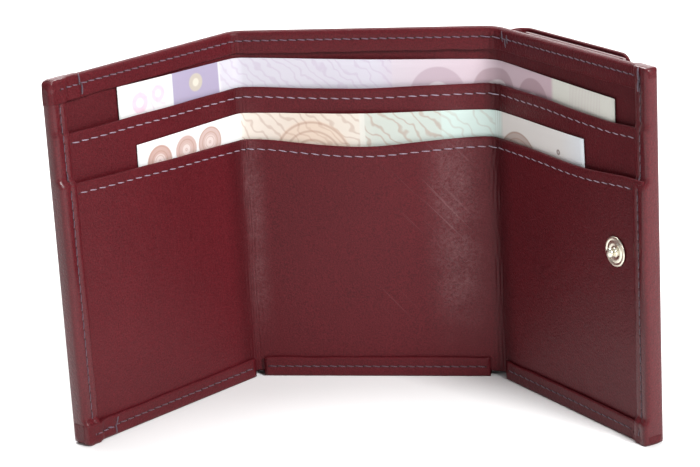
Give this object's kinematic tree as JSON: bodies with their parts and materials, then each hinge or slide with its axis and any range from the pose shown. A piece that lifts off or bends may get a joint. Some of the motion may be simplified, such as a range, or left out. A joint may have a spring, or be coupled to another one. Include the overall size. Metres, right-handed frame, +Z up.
{
  "type": "mini wallet",
  "caption": "Small tri-fold leather wallet standing open, with note pockets, a coin pocket on the back of one panel, snap closures and paper notes inside.",
  "frame": {"origin": "middle of the centre panel's lower edge, on the surface that the wallet stands on", "axes": "+X along the centre panel towards the panel with the coin pocket, +Y towards the wallet's outside, +Z up"},
  "size_m": [0.1506, 0.0582, 0.096],
  "materials": {
    "shell_leather": "fine grain, satin",
    "pocket_leather": "fine grain, satin",
    "lining_leather": "smooth, matt",
    "binding_leather": "fine grain, satin",
    "rear_paper": "printed cotton paper, matt",
    "front_paper": "printed cotton paper, matt",
    "snap_metal": "polished pale nickel"
  },
  "bodies": {
    "centre_panel": {"centre_divider": "pocket_leather", "centre_front_pocket": "pocket_leather", "centre_lining": "lining_leather", "centre_shell": "shell_leather", "front_note": "front_paper", "left_fold_divider": "pocket_leather", "left_fold_front": "pocket_leather", "left_fold_lining": "lining_leather", "left_fold_shell": "shell_leather", "rear_note": "rear_paper", "right_fold_divider": "pocket_leather", "right_fold_front": "pocket_leather", "right_fold_lining": "lining_leather", "right_fold_shell": "shell_leather"},
    "left_panel": {"left_shell": "shell_leather", "left_lining": "lining_leather", "left_divider": "pocket_leather", "left_front_pocket": "pocket_leather", "left_binding": "binding_leather", "closing_socket": "snap_metal"},
    "right_panel": {"right_shell": "shell_leather", "right_lining": "lining_leather", "right_divider": "pocket_leather", "right_front_pocket": "pocket_leather", "right_binding": "binding_leather", "closing_stud": "snap_metal", "closing_stud_washer": "snap_metal", "coin_wall": "pocket_leather", "coin_gusset_top": "lining_leather", "coin_gusset_bottom": "lining_leather", "coin_flap_seam": "pocket_leather", "coin_flap_turn": "pocket_leather", "coin_stud": "snap_metal", "coin_stud_washer": "snap_metal"},
    "coin_flap": {"coin_flap": "pocket_leather", "coin_socket": "snap_metal", "coin_cap": "snap_metal"}
  },
  "joints": [
    {"name": "left_fold", "type": "hinge", "parent": "centre_panel", "child": "left_panel", "pos_m": [-0.03175, -0.0035, 0.048], "axis": [0, 0, 1], "range_deg": [-55, 125], "deforming": ["left_fold_divider", "left_fold_front", "left_fold_lining", "left_fold_shell", "rear_note", "front_note"]},
    {"name": "right_fold", "type": "hinge", "parent": "centre_panel", "child": "right_panel", "pos_m": [0.03175, -0.0066, 0.048], "axis": [0, 0, -1], "range_deg": [-49.5, 130.5], "deforming": ["right_fold_divider", "right_fold_front", "right_fold_lining", "right_fold_shell", "rear_note", "front_note"]},
    {"name": "coin_flap_fold", "type": "hinge", "parent": "right_panel", "child": "coin_flap", "pos_m": [0.04225, 0.00105, 0.048], "axis": [0, 0, 1], "range_deg": [0, 165], "deforming": ["coin_flap_turn"]}
  ]
}
